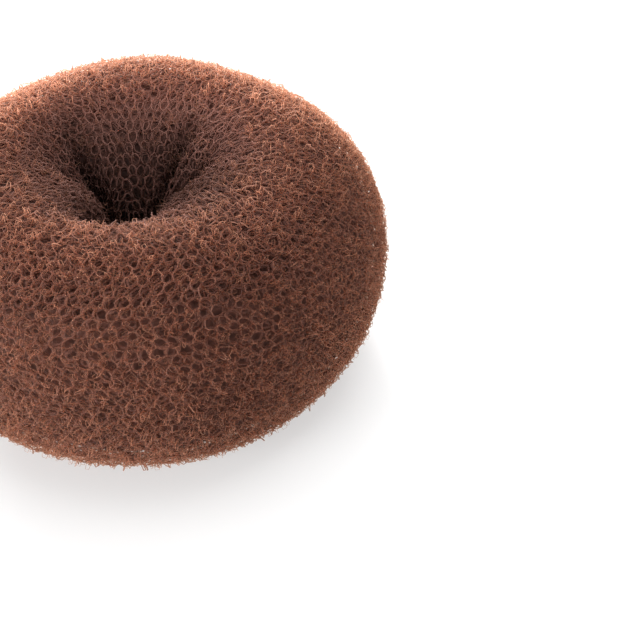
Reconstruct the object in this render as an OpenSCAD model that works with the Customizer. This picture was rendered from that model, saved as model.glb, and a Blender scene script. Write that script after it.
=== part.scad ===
// Ring-shaped hair bun maker: one tube of springy knitted net, rolled on itself like a sock into
// a fat soft ring. The turns of the roll press on each other and stand as one body, and the last
// turn shows as a loose flap with a slit under it, from its free end low in the hole. Folds gather
// round the hole, and soft lobes bulge into it between them. The knitting itself is finer than
// this model.
// Origin at the middle of the ring, on the surface it rests on, +Z up through the hole.

/* [Ring] */
// Outer diameter of the ring
ring_d = 110; // [104:1:124]
// Height of the ring as it lies
ring_h = 55; // [50:1:62]
// Free width of the hole where the folds close in on it
hole_d = 12; // [10:0.5:16]
// How far the hole lies from the middle, to the left and to the front
hole_shift = 3; // [0:0.25:4]
// How far the ring's own weight flattens it where it rests
foot_sag = 1.6; // [0.8:0.1:2.4]
// Fullness of the outside of the section, where 2 is an ellipse and more is boxier
fullness = 2.2; // [2:0.05:2.6]
// Fullness of the side towards the hole, where less makes a wider funnel
funnel = 1.85; // [1.7:0.05:2.3]

/* [Net] */
// Thickness of one turn of the lofty net
net_t = 6.4; // [5:0.1:7.5]
// Thickness at the free end, where the net thins out
end_t = 1.4; // [1:0.1:2.5]
// Width of the slit under the loose flap
slit_w = 0.5; // [0.3:0.05:0.8]

/* [Folds] */
// Depth of a full fold at the hole
fold_depth = 6; // [3:0.25:7]
// How far a full lobe bulges into the hole's upper half
lobe_depth = 5; // [0:0.25:6]
// Height of the slow waves in the outline
wave_h = 0.8; // [0:0.1:1.5]

/* [Hidden] */

// The folds: the angle each one runs at round the hole, half its width in degrees, its depth as a
// share of fold_depth, and how far it climbs out of the hole, as a share of the way to the top
ANGLE = 0;
SPREAD = 1;
DEPTH = 2;
CLIMB = 3;
folds = [
    [ 18, 14, 0.85, 0.90],
    [ 54, 18, 1.15, 0.95],
    [142, 20, 1.25, 0.95],
    [173, 12, 0.90, 0.80],
    [262, 32, 1.35, 1.00],
    [304, 10, 0.60, 0.75],
];
// The lobes between them: the angle and half the width as above, how far they bulge as a share of
// lobe_depth, and the tilt round the section at which they bulge most, with half its width
TILT = 3;
TILT_SPREAD = 4;
lobes = [
    [ 36, 12, 0.30, 140, 45],
    [ 98, 30, 0.20, 150, 60],
    [210, 44, 1.10, 130, 58],
    [332, 40, 0.75, 130, 58],
];
// The slow waves: how many go round the ring, the share of wave_h and the angle of one crest
COUNT = 0;
SHARE = 1;
CREST = 2;
outline_waves = [[1, 0.7, 225], [2, 0.4, 35], [3, 0.8, -13], [4, 0.8, 21]];
top_waves = [[1, 0.5, 152], [3, 0.5, 30]];

half_w = (ring_d - hole_d) / 4;                 // half the section's width
half_h = (ring_h + foot_sag) / 2;               // half its height, before it flattens
section_r = hole_d / 2 + half_w;                // radius of the section's middle
section_z = half_h - foot_sag;                  // height of the section's middle

sections = 72;                                  // sections round the ring
steps = 24;                                     // steps round the section
flap_steps = 7;                                 // how many of them the slit under the flap runs
free_end = 218;                                 // angle of the free end round the section
end_run = 100;                                  // degrees over which the flap thickens
dive = 36;                                      // degrees over which the roll passes under the flap

// A power that keeps its sign, for the rounded-box section
function signed_pow(x, p) = sign(x) * pow(abs(x), p);

// 0 before a, 1 after b, and smooth between
function ease(x, a, b) = let (s = max(0, min(1, (x - a) / (b - a)))) s * s * (3 - 2 * s);

// The angle from one direction to another, from -180 to 180
function turn_to(from, to) = ((to - from + 540) % 360) - 180;

// A smooth bump, 1 in the middle and 0 from half_width on
function bump(x, half_width) = abs(x) >= half_width ? 0 : pow(cos(90 * x / half_width), 2);

function sum(list, i = 0) = i < len(list) ? list[i] + sum(list, i + 1) : 0;

function wave(table, around) =
    wave_h * sum([for (row = table) row[SHARE] * cos(row[COUNT] * (around - row[CREST]))]);

// How strongly a fold shows at this place round the section: full at the hole, fading up to its
// climb, and fading sooner on the underside
function fold_reach(tilt, climb) =
    let (
        way_up = abs(turn_to(180, tilt)) / 90,
        end = sin(tilt) > 0 ? climb : 0.6 * climb
    )
    1 - ease(way_up, 0.15 * climb, end);

// How far the folds push the hole's wall back here. They fade towards the middle of the section.
function fold_push(around, tilt, inset) =
    fold_depth * (1 - inset / half_w)
    * sum([for (row = folds)
        row[DEPTH] * bump(turn_to(row[ANGLE], around), row[SPREAD]) * fold_reach(tilt, row[CLIMB])]);

// How far the lobes bulge into the hole here
function lobe_push(around, tilt, inset) =
    lobe_depth * (1 - inset / half_w)
    * sum([for (row = lobes)
        row[DEPTH] * bump(turn_to(row[ANGLE], around), row[SPREAD])
        * bump(turn_to(row[TILT], tilt), row[TILT_SPREAD])]);

// A point of the roll: around the ring, tilt round the section (0 outside, 90 on top, 180 in the
// hole) and inset under the outer surface
function roll_point(around, tilt, inset) =
    let (
        power = 2 / (cos(tilt) < 0 ? funnel : fullness),
        side = signed_pow(cos(tilt), power),
        lift = signed_pow(sin(tilt), power),
        to_hole = max(0, -side),
        r = section_r + (half_w - inset) * side + fold_push(around, tilt, inset)
            - lobe_push(around, tilt, inset) + wave(outline_waves, around) * max(0, side),
        z = section_z + (half_h - inset) * lift + wave(top_waves, around) * max(0, lift)
    )
    [
        r * cos(around) - hole_shift * to_hole,
        r * sin(around) - hole_shift * to_hole,
        max(inset, z)
    ];

// The flap's thickness after this much travel round the section from its free end
function flap_t(travel) = end_t + (net_t - end_t) * ease(travel, 0, end_run);

// How deep the roll's surface lies here: at 0 until it nears the free end and passes under it
function depth_at(travel) =
    travel < 360
        ? (end_t + slit_w) * ease(travel, 360 - dive, 360)
        : flap_t(travel - 360) + slit_w;

// Faces of a tube closed both ways, whose rings have the same number of points
function closed_tube(rings, points) = [
    for (i = [0:rings - 1], j = [0:points - 1])
        let (i2 = (i + 1) % rings, j2 = (j + 1) % points)
        [i * points + j, i * points + j2, i2 * points + j2, i2 * points + j]
];

module rolled_net() {
    step = 360 / steps;
    // round the outside once and on into the slit, then back out under the flap
    function net_section(around) = [
        for (k = [0:steps + flap_steps])
            roll_point(around, free_end + k * step, depth_at(k * step)),
        for (k = [flap_steps:-1:0])
            roll_point(around, free_end + k * step, flap_t(k * step))
    ];
    color([0.36, 0.21, 0.17])
        polyhedron(
            points = [for (i = [0:sections - 1]) each net_section(360 * i / sections)],
            faces = closed_tube(sections, steps + 2 * flap_steps + 2),
            convexity = 12
        );
}

rolled_net();
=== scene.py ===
import math

import bpy
import numpy as np
from mathutils import Matrix, Vector


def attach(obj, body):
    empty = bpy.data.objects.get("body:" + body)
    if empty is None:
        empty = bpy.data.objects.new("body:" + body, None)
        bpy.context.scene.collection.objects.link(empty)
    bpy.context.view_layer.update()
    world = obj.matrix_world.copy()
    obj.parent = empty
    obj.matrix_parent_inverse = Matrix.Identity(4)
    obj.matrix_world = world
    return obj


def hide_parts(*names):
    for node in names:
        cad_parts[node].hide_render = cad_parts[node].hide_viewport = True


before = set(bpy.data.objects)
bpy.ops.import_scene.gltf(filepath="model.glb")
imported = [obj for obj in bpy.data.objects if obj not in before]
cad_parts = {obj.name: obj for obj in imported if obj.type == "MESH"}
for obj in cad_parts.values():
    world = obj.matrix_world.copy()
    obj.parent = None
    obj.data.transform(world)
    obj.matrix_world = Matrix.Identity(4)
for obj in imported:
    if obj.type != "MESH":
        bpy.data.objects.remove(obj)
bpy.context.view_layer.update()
bpy.ops.object.select_all(action="DESELECT")
mm = 0.001
chance = np.random.default_rng(41)


# small helpers

def degSin(angle):
    return np.sin(np.radians(angle))


def degCos(angle):
    return np.cos(np.radians(angle))


def ease(x, low, high):                 # 0 before low, 1 after high, smooth between
    s = np.clip((x - low) / (high - low), 0, 1)
    return s * s * (3 - 2 * s)


def turnTo(start, end):                 # from -180 to 180
    return (end - start + 540) % 360 - 180


def unit(v):
    return v / (np.linalg.norm(v, axis=-1, keepdims=True) + 1e-12)


# camera first, at the photograph's own framing

shot = {
    "lens": 56.7,
    "sensor": 36,
    "near": 0.01,                       # nearest that it sees, in m
    "aim": (39.4, 4.9, 0),              # the point on the table that the camera looks at, in mm
    "distance": 257.9,
    "elevation": 43.07,
    "roll": 0.26,
}


def placeCamera():
    bpy.ops.object.camera_add()
    camera = bpy.context.object
    camera.name = "camera"
    camera.data.lens = shot["lens"]
    camera.data.sensor_width = shot["sensor"]
    camera.data.clip_start = shot["near"]
    up = math.radians(shot["elevation"])
    aim = Vector(shot["aim"]) * mm
    camera.location = aim + Vector((0, -math.cos(up), math.sin(up))) * shot["distance"] * mm
    nod = Matrix.Rotation(math.pi / 2 - up, 3, "X")
    turn = nod @ Matrix.Rotation(math.radians(shot["roll"]), 3, "Z")
    camera.rotation_euler = turn.to_euler()
    bpy.context.scene.camera = camera


placeCamera()
print("camera placed")


# shader maths: a socket that takes part in Python expressions

class Wire:
    def __init__(self, nodes, socket):
        self.nodes = nodes
        self.socket = socket

    def join(self, kind, other):
        return node(self.nodes, "ShaderNodeMath", {"operation": kind}, {0: self, 1: other})

    def __add__(self, other):
        return self.join("ADD", other)

    def __mul__(self, other):
        return self.join("MULTIPLY", other)


def node(nodes, kind, settings=None, values=None, out=0):
    made = nodes.new(kind)
    for key, value in (settings or {}).items():
        if key == "stops":
            ramp = made.color_ramp
            while len(ramp.elements) < len(value):
                ramp.elements.new(0.5)
            for element, (place, colour) in zip(ramp.elements, value):
                element.position = place
                element.color = (*colour, 1)
        else:
            setattr(made, key, value)
    for key, value in (values or {}).items():
        if isinstance(value, Wire):
            nodes.id_data.links.new(value.socket, made.inputs[key])
        else:
            made.inputs[key].default_value = value
    return Wire(nodes, made.outputs[out]) if made.outputs else None


def pointValue(nodes, name):            # a value that the mesh keeps at its points
    return node(nodes, "ShaderNodeAttribute", {"attribute_name": name}, None, "Fac")


def newMaterial(name):
    material = bpy.data.materials.new(name)
    material.use_nodes = True
    nodes = material.node_tree.nodes
    nodes.clear()
    return material, nodes


def finishMaterial(nodes, surface):
    node(nodes, "ShaderNodeOutputMaterial", None, {"Surface": surface})


# the ring's form, in mm: the same roll as the solid

ring = {
    "width": 110,
    "height": 55,
    "hole": 12,
    "holeShift": 3,
    "sag": 1.6,
    "fullness": 2.2,
    "funnel": 1.85,
    "foldDepth": 6,
    "foldFrom": 0.15,                   # share of its climb from which a fold fades
    "foldBelow": 0.6,                   # share of its climb that it has on the underside
    "waveHeight": 0.8,
    "lobeDepth": 5,
    "folds": [                          # angle, half width in degrees, share of the depth, climb
        (18, 14, 0.85, 0.90),
        (54, 18, 1.15, 0.95),
        (142, 20, 1.25, 0.95),
        (173, 12, 0.90, 0.80),
        (262, 32, 1.35, 1.00),
        (304, 10, 0.60, 0.75),
    ],
    "lobes": [                          # angle, half width, tilt, its half width, share of depth
        (36, 12, 140, 45, 0.30),
        (98, 30, 150, 60, 0.20),
        (210, 44, 130, 58, 1.10),
        (332, 40, 130, 58, 0.75),
    ],
    "lofts": [                          # angle, half width, tilt, its half width, mm of rise
        (92, 40, 62, 55, 1.4),
        (258, 46, 138, 40, -2.4),
    ],
    "outlineWaves": [(1, 0.7, 225), (2, 0.4, 35), (3, 0.8, -13), (4, 0.8, 21)],
    "topWaves": [(1, 0.5, 152), (3, 0.5, 30)],
}
halfWidth = (ring["width"] - ring["hole"]) / 4
halfHeight = (ring["height"] + ring["sag"]) / 2
middleRadius = ring["hole"] / 2 + halfWidth
middleHeight = halfHeight - ring["sag"]


def slowWave(waves, around):
    total = sum(share * degCos(count * (around - crest)) for count, share, crest in waves)
    return ring["waveHeight"] * total


def softBump(x, spread):
    return np.where(np.abs(x) < spread, degCos(90 * x / spread) ** 2, 0)


def inZone(around, tilt, zone):         # 1 in the zone's middle, 0 outside it
    angle, spread, middle, tiltSpread = zone
    return softBump(turnTo(angle, around), spread) * softBump(turnTo(middle, tilt), tiltSpread)


def wayUp(tilt):                        # 0 in the hole, 1 on top or below, 2 outside
    return np.abs(turnTo(180, tilt)) / 90


def holePush(around, tilt, inset):      # folds push the hole's wall back, lobes bulge into it
    total = 0
    for angle, spread, depth, climb in ring["folds"]:
        end = np.where(degSin(tilt) > 0, climb, ring["foldBelow"] * climb)
        reach = 1 - ease(wayUp(tilt), ring["foldFrom"] * climb, end)
        total = total + ring["foldDepth"] * depth * softBump(turnTo(angle, around), spread) * reach
    for *zone, depth in ring["lobes"]:
        total = total - ring["lobeDepth"] * depth * inZone(around, tilt, zone)
    return (1 - inset / halfWidth) * total


def ringPoint(around, tilt, inset=0.0):
    power = 2 / np.where(degCos(tilt) < 0, ring["funnel"], ring["fullness"])
    side = np.sign(degCos(tilt)) * np.abs(degCos(tilt)) ** power
    lift = np.sign(degSin(tilt)) * np.abs(degSin(tilt)) ** power
    shift = ring["holeShift"] * np.maximum(0, -side)
    r = middleRadius + (halfWidth - inset) * side + holePush(around, tilt, inset)
    r = r + slowWave(ring["outlineWaves"], around) * np.maximum(0, side)
    z = middleHeight + (halfHeight - inset) * lift
    z = z + slowWave(ring["topWaves"], around) * np.maximum(0, lift)
    loft = sum(height * inZone(around, tilt, zone) for *zone, height in ring["lofts"])
    r, z = r + loft * degCos(tilt), z + loft * degSin(tilt)
    x, y = r * degCos(around) - shift, r * degSin(around) - shift
    return np.stack([x, y, np.maximum(inset, z)], -1)


def ringNormal(around, tilt, inset=0.0):
    step = 0.5
    alongRing = ringPoint(around + step, tilt, inset) - ringPoint(around - step, tilt, inset)
    upSection = ringPoint(around, tilt + step, inset) - ringPoint(around, tilt - step, inset)
    return unit(np.cross(alongRing, upSection))


# the net: one closed loop for each stitch, in rows round the ring

stitches = {
    "pitches": [                        # tilt round the section, and mm from row to row there
        (0, 2.0), (90, 2.1), (125, 2.3), (155, 2.5), (180, 2.6), (205, 2.5), (270, 2.3), (360, 2.0),
    ],
    "widths": [                         # and how wide a stitch is there
        (0, 2.5), (50, 2.4), (90, 2.15), (125, 1.9), (155, 1.6), (180, 1.35),
        (205, 1.6), (240, 2.1), (270, 2.4), (310, 2.5), (360, 2.5),
    ],
    "measuredAt": 285.0,                # angle of the section that sets how many rows there are
    "fewest": 12,                       # stitches in a row
    "mostCorners": 14,                  # triangles round a stitch
    "jitter": 0.15,                     # share of a stitch
    "oval": 0.10,
    "steep": (30, 50),                  # degrees that a standing stitch leans
}
fineTurn = np.linspace(0, 360, 1441)    # in quarters of a degree


def stepsOf(line):                      # mm from each of its points to the next
    return np.linalg.norm(np.diff(line, axis=0), axis=1)


def addUp(steps):
    return np.concatenate([[0], np.cumsum(steps)])


def sectionTilts(inset):                # tilts of rows that lie a pitch apart along the section
    line = ringPoint(np.full_like(fineTurn, stitches["measuredAt"]), fineTurn, inset)
    pitch = np.interp(fineTurn[:-1], *np.array(stitches["pitches"]).T)
    run = addUp(stepsOf(line) / pitch)
    count = 2 * round(run[-1] / 2)
    return np.interp(np.arange(count) / count * run[-1], run, fineTurn)


def layRows(inset):                     # for each row the angles and the tilts of its stitches
    rows = []
    tilts = sectionTilts(inset)
    rowGap = 360 / len(tilts)
    jitter = stitches["jitter"]
    for i, tilt in enumerate(tilts):
        run = addUp(stepsOf(ringPoint(fineTurn, np.full_like(fineTurn, tilt), inset)))
        width = np.interp(tilt, *np.array(stitches["widths"]).T)
        count = max(stitches["fewest"], round(run[-1] / width))
        places = (np.arange(count) + 0.5 * (i % 2) + chance.uniform(-jitter, jitter, count)) / count
        around = np.interp(np.sort(places % 1) * run[-1], run, fineTurn)
        rows.append((around, tilt + chance.uniform(-jitter, jitter, count) * rowGap))
    return rows


def zipRows(points, starts, counts):    # triangles from row to row, by the shorter diagonal
    triangles = []
    rowTotal = len(counts)
    for row in range(rowTotal):
        other = (row + 1) % rowTotal
        n, m = counts[row], counts[other]
        a, b = points[starts[row]:starts[row] + n], points[starts[other]:starts[other] + m]
        j0 = int(np.argmin(np.linalg.norm(b - a[0], axis=1)))
        i = j = 0
        while i < n or j < m:
            i1, i2 = i % n, (i + 1) % n
            j1, j2 = (j0 + j) % m, (j0 + j + 1) % m
            nextA, nextB = a[i2] - b[j1], b[j2] - a[i1]
            forward = np.dot(nextA, nextA) < np.dot(nextB, nextB)
            if j >= m or (i < n and forward):
                triangles.append((starts[row] + i1, starts[row] + i2, starts[other] + j1))
                i += 1
            else:
                triangles.append((starts[row] + i1, starts[other] + j2, starts[other] + j1))
                j += 1
    return np.array(triangles)


def cellCorners(triangles, total):      # for each stitch the triangles round it, in order
    nextOf = {}
    firstOf = {}
    for t, (a, b, c) in enumerate(triangles):
        for start, end, third in ((a, b, c), (b, c, a), (c, a, b)):
            nextOf[(start, end)] = (t, third)
            firstOf[start] = end
    cells = []
    for cell in range(total):
        start = firstOf[cell]
        at, corners = start, []
        for _ in range(stitches["mostCorners"]):
            t, at = nextOf[(cell, at)]
            corners.append(t)
            if at == start:
                break
        cells.append(corners)
    return cells


def softLoop(corners, count):           # a closed smooth curve near the corners, of count places
    k = len(corners)
    t = np.arange(count) / count * k
    i = t.astype(int)
    f = (t - i)[:, None]
    p0, p1, p2, p3 = (corners[(i + s) % k] for s in (-1, 0, 1, 2))
    return ((1 - f) ** 3 * p0 + (3 * f ** 3 - 6 * f ** 2 + 4) * p1
            + (-3 * f ** 3 + 3 * f ** 2 + 3 * f + 1) * p2 + f ** 3 * p3) / 6


strand = {
    "sides": 3,
    "thickness": (0.8, 1.2),            # share of the radius, from loop to loop
    "overTable": 0.05,                  # mm
    "margin": 0.05,                     # round each loop on the UV map
}
mostTriangles = 195000                  # in one piece


def loopMesh(name, loops, normals, radius, flat, looks):         # closed tubes, joined in one mesh
    total, count, _ = loops.shape
    sides, margin = strand["sides"], strand["margin"]
    along = unit(np.roll(loops, -1, axis=1) - np.roll(loops, 1, axis=1))
    across = unit(np.cross(along, normals[:, None]))
    upward = np.cross(across, along)
    across = across * flat[:, None, None]
    turn = np.arange(sides) / sides * 2 * math.pi
    rim = (across[:, :, None, :] * np.cos(turn)[None, None, :, None]
           + upward[:, :, None, :] * np.sin(turn)[None, None, :, None])
    verts = loops[:, :, None, :] + radius[:, None, None, None] * rim
    base = (np.arange(total) * count * sides)[:, None, None]
    k = np.arange(count)[None, :, None]
    s = np.arange(sides)[None, None, :]
    here, ahead = base + k * sides, base + (k + 1) % count * sides
    s2 = (s + 1) % sides
    quads = np.stack([here + s, ahead + s, ahead + s2, here + s2], -1).reshape(-1, 4)
    mesh = bpy.data.meshes.new(name)
    mesh.vertices.add(total * count * sides)
    mesh.vertices.foreach_set("co", (verts.reshape(-1) * mm).astype(np.float32))
    mesh.loops.add(quads.size)
    mesh.loops.foreach_set("vertex_index", quads.ravel().astype(np.int32))
    mesh.polygons.add(len(quads))
    mesh.polygons.foreach_set("loop_start", np.arange(0, quads.size, 4, dtype=np.int32))
    mesh.update(calc_edges=True)
    mesh.polygons.foreach_set("use_smooth", np.ones(len(quads), bool))
    for attribute, values in looks.items():
        mesh.attributes.new(attribute, "FLOAT", "POINT").data.foreach_set(
            "value", np.repeat(values, count * sides).astype(np.float32))

    # each loop has a cell of its own on the UV map
    side = math.ceil(math.sqrt(total))
    cellU = (np.arange(total) % side)[:, None, None, None] / side
    cellV = (np.arange(total) // side)[:, None, None, None] / side
    u = np.broadcast_to(k[..., None] + np.array([0, 1, 1, 0]), (1, count, sides, 4)) / count
    v = np.broadcast_to(s[..., None] + np.array([0, 0, 1, 1]), (1, count, sides, 4)) / sides
    free = 1 - 2 * margin
    uv = np.stack([cellU + (margin + free * u) / side, cellV + (margin + free * v) / side], -1)
    layer = mesh.uv_layers.new(name="OFBake")
    layer.data.foreach_set("uv", uv.reshape(-1).astype(np.float32))
    piece = bpy.data.objects.new(name, mesh)
    bpy.context.collection.objects.link(piece)
    return piece


def loopPieces(name, loops, normals, radius, flat, looks):       # as few as the limit allows
    total, count, _ = loops.shape
    parts = math.ceil(total * count * strand["sides"] * 2 / mostTriangles)
    made = []
    for p in range(parts):
        part = slice(p * total // parts, (p + 1) * total // parts)
        pieceName = f"{name}.{p + 1}" if parts > 1 else name
        made.append(loopMesh(pieceName, loops[part], normals[part], radius[part], flat[part],
                             {key: values[part] for key, values in looks.items()}))
    print(name, "made of", total, "loops, pieces:", parts)
    return made


# open and flat say how wide a loop and its strand are outside, on top, in the hole and below,
# through and scattered how light passes in the crowded net of the hole and in the loose net outside

# gloom is how much of the painted shade of the hole a layer takes; brightness scales the same
# nylon, darker on each deeper layer as painted shade
layers = [
    {"name": "outerNet", "inset": 0.1, "radius": 0.145, "places": 7, "reach": (0, 360),
     "open": (1.07, 1.08, 1.12, 1.07), "flat": (1, 1, 1, 1),
     "vary": 0.06, "stray": 0.10, "saddle": 0.25, "lean": 16, "stand": 0.03, "wobble": 0.30,
     "gloom": 0.35, "brightness": 2.15, "through": (0.40, 0.76), "scattered": (0.045, 0.18)},
    {"name": "secondNet", "inset": 1.1, "radius": 0.2, "places": 5, "reach": (0, 360),
     "open": (0.88, 0.92, 1.0, 0.88), "flat": (2.3, 1.5, 0.9, 2.3),
     "vary": 0.17, "stray": 0.15, "saddle": 0.2, "lean": 12, "stand": 0.0, "wobble": 0.2,
     "gloom": 0.7, "brightness": 1.75, "through": (0.3, 0.55), "scattered": (0.045, 0.18)},
    {"name": "thirdNet", "inset": 2.0, "radius": 0.24, "places": 5, "reach": (50, 240),
     "open": (0.66, 0.85, 0.95, 0.70), "flat": (1.7, 1.1, 0.9, 1.7),
     "vary": 0.12, "stray": 0.25, "saddle": 0.2, "lean": 12, "stand": 0.0, "wobble": 0.2,
     "gloom": 0.8, "brightness": 1.45, "through": (0.2, 0.2), "scattered": (1, 1)},
]

# painted shade: darker deep in the hole, in its folds, on its lobes and outside, and darker or
# lighter in patches
depths = {
    "hole": (0.05, 0.72),               # way up over which the painted shade of the hole ends
    "fold": (0.6, 0.95),                # and the painted shade of its folds
    "outside": (1.05, 1.6),             # and over which the outside begins
    "loose": (0.45, 1.15),              # and the net gets loose
    "foldDarker": 0.5,
    "lobeDarker": 0.1,
    "outsideDarker": 0.2,
    "patches": [                        # angle, half width, tilt, its half width, share darker: painted shade, and painted light where it is below 0
        (258, 60, 130, 36, 0.45),
        (335, 42, 126, 44, 0.45),
        (90, 115, 98, 38, -0.5),
    ],
}


def depthShade(around, tilt, gloom):    # painted shade: 1 on the open net, less deep in the hole and its folds; painted light where it goes past 1
    inHole = 1 - ease(wayUp(tilt), *depths["hole"])
    push = holePush(around, tilt, 0)
    inFold = np.clip(push / ring["foldDepth"], 0, 1) * (1 - ease(wayUp(tilt), *depths["fold"]))
    onLobe = np.clip(-push / ring["lobeDepth"], 0, 1)
    outside = ease(wayUp(tilt), *depths["outside"])
    shade = (1 - gloom * inHole) * (1 - depths["foldDarker"] * inFold)
    shade = shade * (1 - depths["lobeDarker"] * onLobe) * (1 - depths["outsideDarker"] * outside)
    for *zone, darker in depths["patches"]:
        shade = shade * (1 - darker * inZone(around, tilt, zone))
    return shade


def looseness(tilt):                    # 0 in the hole, 1 outside, where light passes the net
    return ease(wayUp(tilt), *depths["loose"])


def roundSection(tilt, values):         # from outside, on top, in the hole and below
    return np.interp(tilt % 360, (0, 90, 180, 270, 360), (*values, values[0]))


def layStitches():
    inset = layers[0]["inset"]
    rows = layRows(inset)
    counts = [len(r[0]) for r in rows]
    starts = np.concatenate([[0], np.cumsum(counts)])[:-1]
    around = np.concatenate([r[0] for r in rows])
    tilt = np.concatenate([r[1] for r in rows])
    triangles = zipRows(ringPoint(around, tilt, inset), starts, counts)
    return around, tilt, triangles, cellCorners(triangles, len(around))


def knitLayer(spec, around, tilt, triangles, cells):
    points = ringPoint(around, tilt, spec["inset"])
    normals = ringNormal(around, tilt, spec["inset"])
    middles = points[triangles].mean(axis=1)
    total = len(cells)
    loops = np.stack([softLoop(middles[corners], spec["places"]) for corners in cells])
    centre = loops.mean(axis=1, keepdims=True)
    wide = roundSection(tilt, spec["open"]) * (1 + chance.normal(0, spec["vary"], total))
    arms = (loops - centre) * wide[:, None, None]

    # each stitch is bent like a saddle, its sides up and its ends down, and it wobbles and leans
    alongRing = unit(np.cross([0, 0, 1], points))
    upSection = unit(np.cross(normals, alongRing))
    sideways = np.einsum("cki,ci->ck", arms, alongRing)
    upward = np.einsum("cki,ci->ck", arms, upSection)
    phase = np.arctan2(upward, sideways)
    height = spec["saddle"] * np.cos(2 * phase)
    for cycles in (1, 3):
        start = chance.uniform(0, 2 * math.pi, (total, 1))
        height = height + spec["wobble"] * np.sin(cycles * phase + start)
    start = chance.uniform(0, 2 * math.pi, (total, 1))
    oval = 1 + stitches["oval"] * np.sin(2 * phase + start)
    lean = np.radians(chance.normal(0, spec["lean"], (total, 1)))
    standing = chance.uniform(0, 1, (total, 1)) < spec["stand"]
    steep = np.radians(chance.uniform(*stitches["steep"], (total, 1)))
    lean = np.where(standing, steep * np.sign(lean), lean)
    axis = chance.uniform(0, 2 * math.pi, (total, 1))
    over = np.cos(axis) * upward - np.sin(axis) * sideways
    height = height + over * np.sin(lean)
    squeeze = over * (np.cos(lean) - 1)
    arms = arms * oval[..., None]
    arms = arms - (squeeze * np.sin(axis))[..., None] * alongRing[:, None]
    arms = arms + (squeeze * np.cos(axis))[..., None] * upSection[:, None]
    stray = chance.normal(0, spec["stray"], (total, 1)) * alongRing
    stray = stray + chance.normal(0, spec["stray"], (total, 1)) * upSection
    loops = centre + stray[:, None] + arms + height[..., None] * normals[:, None]
    loops[..., 2] = np.maximum(loops[..., 2], spec["radius"] + strand["overTable"])

    tones = chance.uniform(0, 1, total)
    radius = spec["radius"] * chance.uniform(*strand["thickness"], total)
    flat = roundSection(tilt, spec["flat"])
    # painted shade for each stitch
    shades = depthShade(around, tilt, spec["gloom"])
    low, high = spec["reach"]
    order = np.argsort(around, kind="stable")
    order = order[(tilt[order] % 360 >= low) & (tilt[order] % 360 <= high)]
    looks = {"tone": tones[order], "shade": shades[order], "thin": looseness(tilt)[order]}
    return loopPieces(spec["name"], loops[order], normals[order], radius[order], flat[order], looks)


# fuzz: small fine loops that stand out of the net all over

fuzz = {
    "count": 11500,
    "places": 5,
    "radius": 0.05,
    "foot": 0.9,                        # inset of its feet
    "scatter": 0.25,                    # of its feet, in mm
    "height": (1.6, 3.0),
    "sunk": 0.3,                        # share of half its height that is under its foot
    "width": (0.4, 0.9),                # half the loop's width
    "lean": 50,                         # degrees off upright
    "outsideFrom": (-0.2, -0.9),        # cosine and sine of the tilt
    "inHole": 0.25,                     # how much of it stands in the hole, and underneath
    # how much of the painted shade of the hole it takes
    "gloom": 0.7,
    "through": (0.82, 0.82),
    "scattered": (0.08, 0.32),
}


def raiseFuzz(around, tilt, triangles):     # on the strands, where stitches meet
    total, count = fuzz["count"], fuzz["places"]
    # painted shade of the net at its feet
    shades = depthShade(around, tilt, fuzz["gloom"])[triangles[:, 0]]
    thin = looseness(tilt)[triangles[:, 0]]
    leastCos, leastSin = fuzz["outsideFrom"]
    outside = (degCos(tilt) > leastCos) & (degSin(tilt) > leastSin)
    chances = np.where(outside[triangles[:, 0]], 1, fuzz["inHole"])
    pick = np.sort(chance.choice(len(triangles), total, p=chances / chances.sum()))
    foot = ringPoint(around, tilt, fuzz["foot"])[triangles[pick]].mean(axis=1)
    foot = foot + chance.normal(0, fuzz["scatter"], (total, 3))
    out = unit(ringNormal(around, tilt)[triangles[pick]].mean(axis=1))
    lie = unit(np.cross([0, 0, 1], foot))
    heading = chance.uniform(0, 2 * math.pi, total)[:, None]
    flat = np.cos(heading) * lie + np.sin(heading) * np.cross(out, lie)
    lean = np.radians(chance.normal(0, fuzz["lean"], total))[:, None]
    up = np.cos(lean) * out + np.sin(lean) * np.cross(out, flat)
    turn = (np.arange(count) / count * 2 * math.pi)[None, :, None]
    low, high = fuzz["height"]
    height = (low + (high - low) * chance.uniform(0, 1, total) ** 2)[:, None, None]
    width = chance.uniform(*fuzz["width"], total)[:, None, None]
    rise = height / 2 * (1 - fuzz["sunk"] - np.cos(turn))
    loops = foot[:, None] + rise * up[:, None] + width * np.sin(turn) * flat[:, None]
    loops[..., 2] = np.maximum(loops[..., 2], fuzz["radius"] + strand["overTable"])
    radius = fuzz["radius"] * chance.uniform(*strand["thickness"], total)
    looks = {"tone": chance.uniform(0, 1, total), "shade": shades[pick], "thin": thin[pick]}
    return loopPieces("fuzz", loops, np.cross(flat, up), radius, np.ones(total), looks)


# the roll under the nets

core = {
    "inset": 2.8,                       # before it swells
    "around": 160,
    "section": 80,
    "pressure": 4.0,
    "mass": 0.0003,                     # kg at each point
    "stiffness": 0.3,
    "frames": 20,
    "swell": 0.9,                       # mm that a point may move
    # how much of the painted shade of the hole it takes
    "gloom": 0.9,
    "cellScale": 420.0,                 # of the net cells painted on it
    "cellStops": [                      # from the edge of a cell to its middle; a net pattern, darker than the nets above and darkest in the middles: painted shade
        (0.05, (0.17, 0.070, 0.052)),
        (0.25, (0.095, 0.038, 0.028)),
    ],
    "dents": 0.8,
    "dentDepth": 0.001,
    "roughness": 0.8,
}


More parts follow.
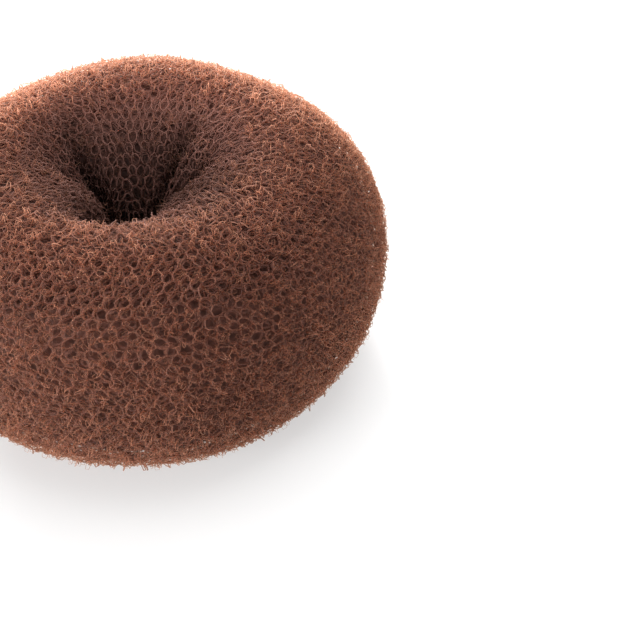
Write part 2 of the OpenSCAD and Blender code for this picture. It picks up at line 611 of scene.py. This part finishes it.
def swell(piece):                       # cloth under pressure, with each point's move limited
    before = np.zeros(len(piece.data.vertices) * 3)
    piece.data.vertices.foreach_get("co", before)
    cloth = piece.modifiers.new("swell", "CLOTH")
    cloth.settings.use_pressure = True
    cloth.settings.uniform_pressure_force = core["pressure"]
    cloth.settings.mass = core["mass"]
    cloth.settings.tension_stiffness = cloth.settings.compression_stiffness = core["stiffness"]
    cloth.settings.shear_stiffness = core["stiffness"] / 3
    cloth.settings.effector_weights.gravity = 0
    for frameNumber in range(1, core["frames"] + 1):
        bpy.context.scene.frame_set(frameNumber)
    bpy.ops.object.modifier_apply(modifier=cloth.name)
    bpy.context.scene.frame_set(1)
    after = np.zeros(len(before))
    piece.data.vertices.foreach_get("co", after)
    move = (after - before).reshape(-1, 3)
    length = np.linalg.norm(move, axis=1, keepdims=True) + 1e-12
    move = move * np.minimum(1, core["swell"] * mm / length)
    piece.data.vertices.foreach_set("co", (before.reshape(-1, 3) + move).astype(np.float32).ravel())
    piece.data.update()
    print("inner roll swollen")


def makeCore():
    bpy.ops.mesh.primitive_torus_add(
        major_segments=core["around"], minor_segments=core["section"],
        major_radius=middleRadius * mm, minor_radius=halfWidth * mm)
    piece = bpy.context.object
    piece.name = "innerRoll"
    co = np.zeros(len(piece.data.vertices) * 3)
    piece.data.vertices.foreach_get("co", co)
    co = co.reshape(-1, 3) / mm
    around = np.degrees(np.arctan2(co[:, 1], co[:, 0]))
    tilt = np.degrees(np.arctan2(co[:, 2], np.hypot(co[:, 0], co[:, 1]) - middleRadius))
    shaped = ringPoint(around, tilt, core["inset"])
    piece.data.vertices.foreach_set("co", (shaped * mm).astype(np.float32).ravel())
    piece.data.update()
    swell(piece)
    # painted shade, deeper in the hole and its folds, as on the nets
    piece.data.attributes.new("shade", "FLOAT", "POINT").data.foreach_set(
        "value", depthShade(around, tilt, core["gloom"]).astype(np.float32))
    bpy.ops.object.shade_smooth()
    return piece


# nylon and net materials

nylon = {
    "dark": (0.106, 0.050, 0.041),
    "light": (0.182, 0.094, 0.078),
    "fuzzDark": (0.45, 0.20, 0.13),
    "fuzzLight": (0.85, 0.50, 0.36),
    "glow": (0.95, 0.56, 0.41),         # tint of light that a strand scatters as it passes
    "clear": (0.975, 0.88, 0.80),       # and of light that passes straight through
    "roughness": 0.7,
    "gloss": 0.08,
    "toneShare": 0.6,                   # of what varies from stitch to stitch, the rest is clouds
    "toneStops": (0.15, 0.85),
    "cloudScale": 60.0,
    "cloudDetail": 2.0,
}


def shadeColour(nodes, shade, colour):       # painted shade; it goes past 1 where light is painted on
    return node(nodes, "ShaderNodeMix", {"data_type": "RGBA", "clamp_factor": False},
                {0: shade, 6: (0, 0, 0, 1), 7: colour}, 2)


def nylonColour(nodes, dark, light):
    place = node(nodes, "ShaderNodeTexCoord", None, None, "Object")
    cloud = node(nodes, "ShaderNodeTexNoise", None, {
        "Vector": place, "Scale": nylon["cloudScale"], "Detail": nylon["cloudDetail"]}, "Fac")
    mix = pointValue(nodes, "tone") * nylon["toneShare"] + cloud * (1 - nylon["toneShare"])
    stops = list(zip(nylon["toneStops"], (dark, light)))
    colour = node(nodes, "ShaderNodeValToRGB", {"stops": stops}, {"Fac": mix}, "Color")
    # the tone and the clouds vary at random; the shade attribute paints shade and light on them
    return shadeColour(nodes, pointValue(nodes, "shade"), colour)


def byLooseness(nodes, pair):           # from the crowded net in the hole to the loose net outside
    crowded, loose = pair
    if crowded == loose:
        return loose
    return pointValue(nodes, "thin") * (loose - crowded) + crowded


def passingLight(nodes, scattered):          # part of it is scattered, the rest goes straight on
    glow = node(nodes, "ShaderNodeBsdfTranslucent", None, {"Color": (*nylon["glow"], 1)})
    if scattered == (1, 1):
        return glow
    straight = node(nodes, "ShaderNodeBsdfTransparent", None, {"Color": (*nylon["clear"], 1)})
    return node(nodes, "ShaderNodeMixShader", None,
                {0: byLooseness(nodes, scattered), 1: straight, 2: glow})


def nylonMaterial(name, dark, light, spec):
    material, nodes = newMaterial(name)
    solid = node(nodes, "ShaderNodeBsdfPrincipled", None, {
        "Base Color": nylonColour(nodes, dark, light), "Roughness": nylon["roughness"],
        "Specular IOR Level": nylon["gloss"]})
    through, passing = byLooseness(nodes, spec["through"]), passingLight(nodes, spec["scattered"])
    mix = node(nodes, "ShaderNodeMixShader", None, {0: through, 1: solid, 2: passing})
    finishMaterial(nodes, mix)
    return material


def coreMaterial():
    material, nodes = newMaterial("deepNet")
    place = node(nodes, "ShaderNodeTexCoord", None, None, "Object")
    edge = node(nodes, "ShaderNodeTexVoronoi", {"feature": "DISTANCE_TO_EDGE"},
                {"Vector": place, "Scale": core["cellScale"]}, "Distance")
    colour = node(nodes, "ShaderNodeValToRGB", {"stops": core["cellStops"]}, {"Fac": edge}, "Color")
    # painted shade on the cell colours
    colour = shadeColour(nodes, pointValue(nodes, "shade"), colour)
    dents = node(nodes, "ShaderNodeBump", {"invert": True}, {
        "Height": edge, "Strength": core["dents"], "Distance": core["dentDepth"]}, "Normal")
    finishMaterial(nodes, node(nodes, "ShaderNodeBsdfPrincipled", None, {
        "Base Color": colour, "Roughness": core["roughness"], "Normal": dents}))
    return material


roll = makeCore()
roll.data.materials.append(coreMaterial())
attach(roll, "root")
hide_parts("rolled_net")
print("inner roll made")


def dress(pieces, material):
    for piece in pieces:
        piece.data.materials.append(material)
        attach(piece, "root")


laid = layStitches()
for number, spec in enumerate(layers):
    dark, light = (tuple(c * spec["brightness"] for c in nylon[key]) for key in ("dark", "light"))
    dress(knitLayer(spec, *laid), nylonMaterial("nylon" + str(number), dark, light, spec))
dress(raiseFuzz(*laid[:3]), nylonMaterial("nylonFuzz", nylon["fuzzDark"], nylon["fuzzLight"], fuzz))


# table and light

room = {
    "tableSize": 4,                     # in m
    "tableColour": (0.5, 0.5, 0.5),
    "tableGlow": 0.52,
    "tableRoughness": 0.8,
    "strength": 0.58,
    "lamps": [                          # name, place in mm, width and height, brightness
        ("topLamp", (100, 100, 1500), (1000, 1000), 3.6),
        ("backLamp", (-450, 1400, 85), (900, 170), 155.0),
        ("rearTopLamp", (-300, 1400, 480), (300, 300), 60.0),
        ("leftLamp", (-1300, -600, 100), (500, 500), 42.0),
    ],
}


def makeFloor():
    bpy.ops.mesh.primitive_plane_add(size=room["tableSize"])
    floor = bpy.context.object
    floor.name = "table"
    material, nodes = newMaterial("paleTable")
    finishMaterial(nodes, node(nodes, "ShaderNodeBsdfPrincipled", None, {
        "Base Color": (*room["tableColour"], 1), "Roughness": room["tableRoughness"],
        "Emission Color": (1, 1, 1, 1), "Emission Strength": room["tableGlow"]}))
    floor.data.materials.append(material)


def placeLights():
    world = bpy.data.worlds.new("room")
    bpy.context.scene.world = world
    world.use_nodes = True
    back = world.node_tree.nodes["Background"]
    back.inputs["Color"].default_value = (1, 1, 1, 1)
    back.inputs["Strength"].default_value = room["strength"]
    for name, place, size, bright in room["lamps"]:
        bpy.ops.object.light_add(type="AREA", location=Vector(place) * mm)
        lamp = bpy.context.object
        lamp.name = name
        lamp.data.shape = "RECTANGLE"
        lamp.data.size, lamp.data.size_y = (side * mm for side in size)
        lamp.data.energy = bright * math.pi * lamp.data.size * lamp.data.size_y
        lamp.rotation_euler = (-Vector(place)).to_track_quat("-Z", "Y").to_euler()


makeFloor()
placeLights()
bpy.context.scene.view_settings.view_transform = "Standard"
print("table and lights placed")
